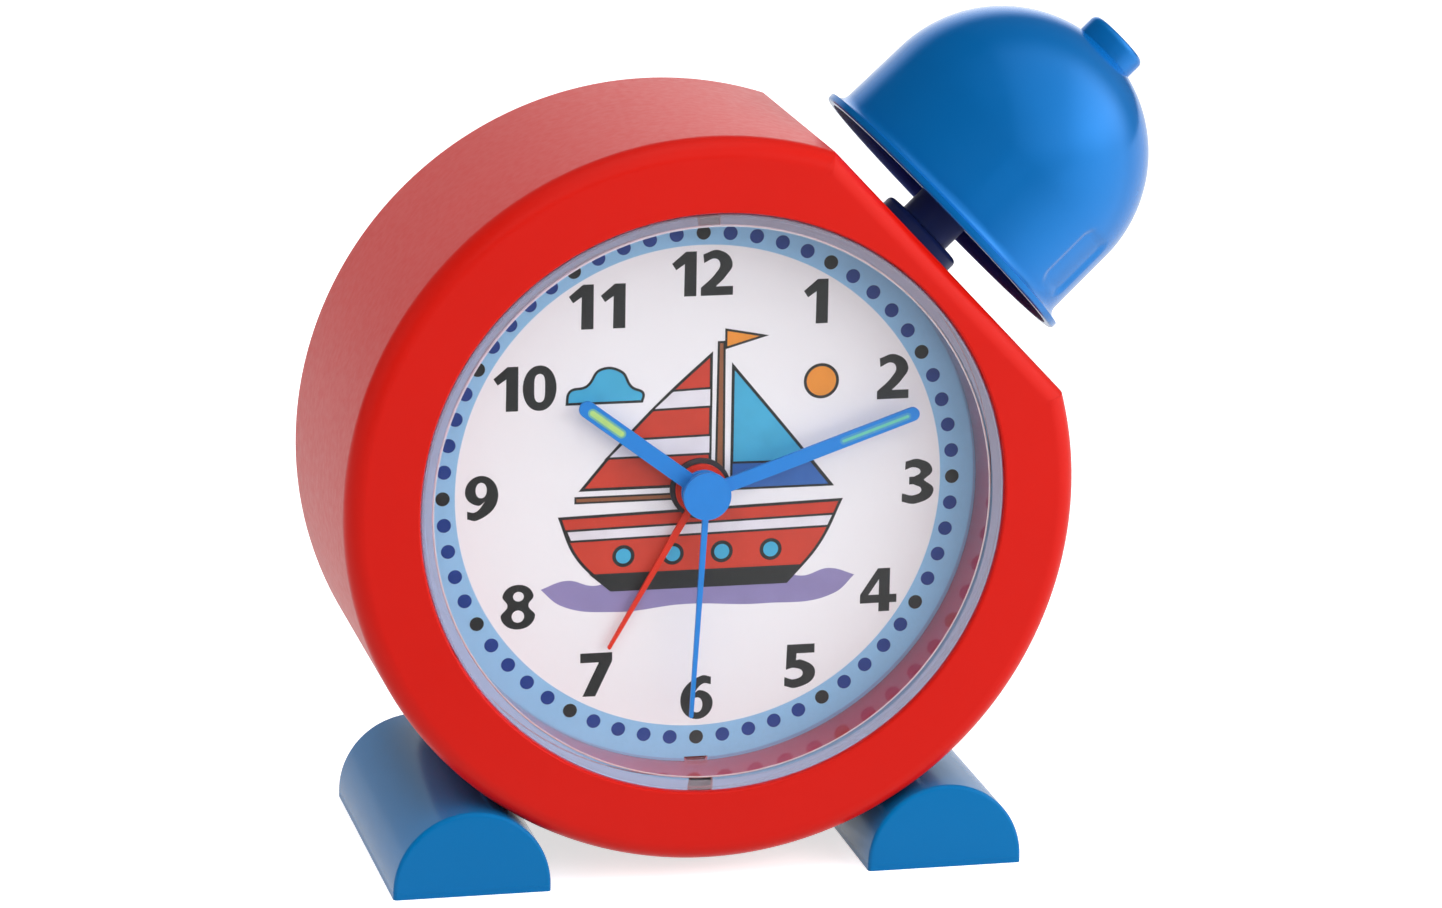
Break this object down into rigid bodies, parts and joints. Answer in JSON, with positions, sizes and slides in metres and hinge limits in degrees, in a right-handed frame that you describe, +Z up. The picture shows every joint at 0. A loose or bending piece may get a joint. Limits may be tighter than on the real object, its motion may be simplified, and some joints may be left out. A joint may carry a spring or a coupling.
{
  "type": "analog alarm clock",
  "caption": "Round free-standing alarm clock on two half-round feet, with a clear window, four hands and a large press bell on a stem at its upper right.",
  "frame": {"origin": "middle of the box around the clock, in the plane it stands on", "axes": "+Z up; the dial faces -Y; +X is to the right of someone who looks at the dial"},
  "size_m": [0.126, 0.0502, 0.1264],
  "materials": {
    "red_shell": "gloss",
    "blue_foot": "gloss",
    "blue_bell": "gloss",
    "navy_plastic": "gloss",
    "dark_rear": "fine grain",
    "clear_window": "polished",
    "printed_dial": "printed card",
    "blue_hand": "satin paint",
    "red_hand": "satin paint",
    "glow_paint": "matt paint",
    "movement_case": "matt",
    "gear_white": "matt",
    "gear_amber": "matt",
    "steel": "brushed",
    "spring_steel": "bright",
    "magnet": "matt",
    "copper_winding": "varnished",
    "circuit_board": "varnished",
    "bright_contact": "bright",
    "cell_jacket": "printed film",
    "paper_cone": "matt",
    "rubber_sole": "matt",
    "switch_red": "gloss"
  },
  "bodies": {
    "case": {"housing": "red_shell", "lens": "clear_window", "dial": "printed_dial", "left_foot": "blue_foot", "right_foot": "blue_foot", "left_sole": "rubber_sole", "right_sole": "rubber_sole", "foot_screws": "steel", "stem_collar": "navy_plastic", "bell_spring": "spring_steel", "plunger_bracket": "steel", "bracket_screws": "steel", "snooze_board": "circuit_board", "snooze_switch": "movement_case", "stator": "steel", "motor_coil": "copper_winding", "circuit_board": "circuit_board", "alarm_contact": "bright_contact", "quartz_crystal": "bright_contact", "movement_front": "movement_case", "middle_plate": "gear_white", "movement_rear": "movement_case", "movement_screws": "steel", "back_cover": "dark_rear", "case_screws": "steel", "upper_cell": "cell_jacket", "lower_cell": "cell_jacket", "link_contact": "bright_contact", "positive_contact": "bright_contact", "negative_contact": "bright_contact", "speaker_frame": "steel", "speaker_cone": "paper_cone", "sound_board": "circuit_board", "alarm_switch_body": "movement_case"},
    "minute_works": {"minute_hand": "blue_hand", "minute_inlay": "glow_paint", "cannon_pinion": "gear_white"},
    "hour_works": {"hour_hand": "blue_hand", "hour_inlay": "glow_paint", "hour_wheel": "gear_white"},
    "second_works": {"second_hand": "blue_hand", "second_wheel": "gear_amber"},
    "alarm_works": {"alarm_hand": "red_hand", "alarm_wheel": "gear_amber"},
    "intermediate": {"intermediate_wheel": "gear_white"},
    "third": {"third_wheel": "gear_amber"},
    "rotor": {"rotor_pinion": "gear_white", "rotor_magnet": "magnet"},
    "time_setting": {"time_setting_shaft": "gear_white", "time_knob": "navy_plastic"},
    "alarm_setting": {"alarm_setting_shaft": "gear_amber", "alarm_knob": "navy_plastic"},
    "press_bell": {"bell": "blue_bell", "bell_knob": "blue_bell", "bell_stem": "navy_plastic", "stem_clip": "spring_steel"},
    "alarm_slider": {"alarm_switch": "switch_red"},
    "battery_door": {"battery_cover": "dark_rear"}
  },
  "joints": [
    {"name": "minute_spin", "type": "hinge", "parent": "case", "child": "minute_works", "pos_m": [-0.00802, 0, 0.05786], "axis": [0, 1, 0], "continuous": true},
    {"name": "hour_spin", "type": "hinge", "parent": "case", "child": "hour_works", "pos_m": [-0.00802, 0, 0.05786], "axis": [0, 1, 0], "continuous": true},
    {"name": "second_spin", "type": "hinge", "parent": "case", "child": "second_works", "pos_m": [-0.00802, 0, 0.05786], "axis": [0, 1, 0], "continuous": true},
    {"name": "alarm_spin", "type": "hinge", "parent": "case", "child": "alarm_works", "pos_m": [-0.00802, 0, 0.05786], "axis": [0, 1, 0], "continuous": true},
    {"name": "intermediate_spin", "type": "hinge", "parent": "case", "child": "intermediate", "pos_m": [-0.02002, 0, 0.05786], "axis": [0, 1, 0], "continuous": true},
    {"name": "third_spin", "type": "hinge", "parent": "case", "child": "third", "pos_m": [-0.0111, 0, 0.0494], "axis": [0, 1, 0], "continuous": true},
    {"name": "rotor_spin", "type": "hinge", "parent": "case", "child": "rotor", "pos_m": [-0.00512, 0, 0.04343], "axis": [0, 1, 0], "continuous": true},
    {"name": "time_knob_spin", "type": "hinge", "parent": "case", "child": "time_setting", "pos_m": [-0.03185, 0, 0.06436], "axis": [0, 1, 0], "continuous": true},
    {"name": "alarm_knob_spin", "type": "hinge", "parent": "case", "child": "alarm_setting", "pos_m": [0.00324, 0, 0.06436], "axis": [0, 1, 0], "continuous": true},
    {"name": "bell_press", "type": "slide", "parent": "case", "child": "press_bell", "axis": [-0.7254, 0, -0.6884], "range_m": [0, 0.0025], "stiffness_N_per_m": 500, "springref_m": -0.003, "deforming": ["bell_spring"]},
    {"name": "alarm_switch_slide", "type": "slide", "parent": "case", "child": "alarm_slider", "axis": [0, 0, 1], "range_m": [0, 0.003]},
    {"name": "battery_cover_slide", "type": "slide", "parent": "case", "child": "battery_door", "axis": [0, 1, 0], "range_m": [0, 0.02]}
  ],
  "couplings": [
    {"joint": "intermediate_spin", "follows": "minute_spin", "ratio": -0.33333},
    {"joint": "hour_spin", "follows": "minute_spin", "ratio": 0.083333},
    {"joint": "time_knob_spin", "follows": "minute_spin", "ratio": 0.66667},
    {"joint": "alarm_knob_spin", "follows": "alarm_spin", "ratio": -2.25},
    {"joint": "third_spin", "follows": "second_spin", "ratio": -5},
    {"joint": "rotor_spin", "follows": "second_spin", "ratio": 30}
  ]
}
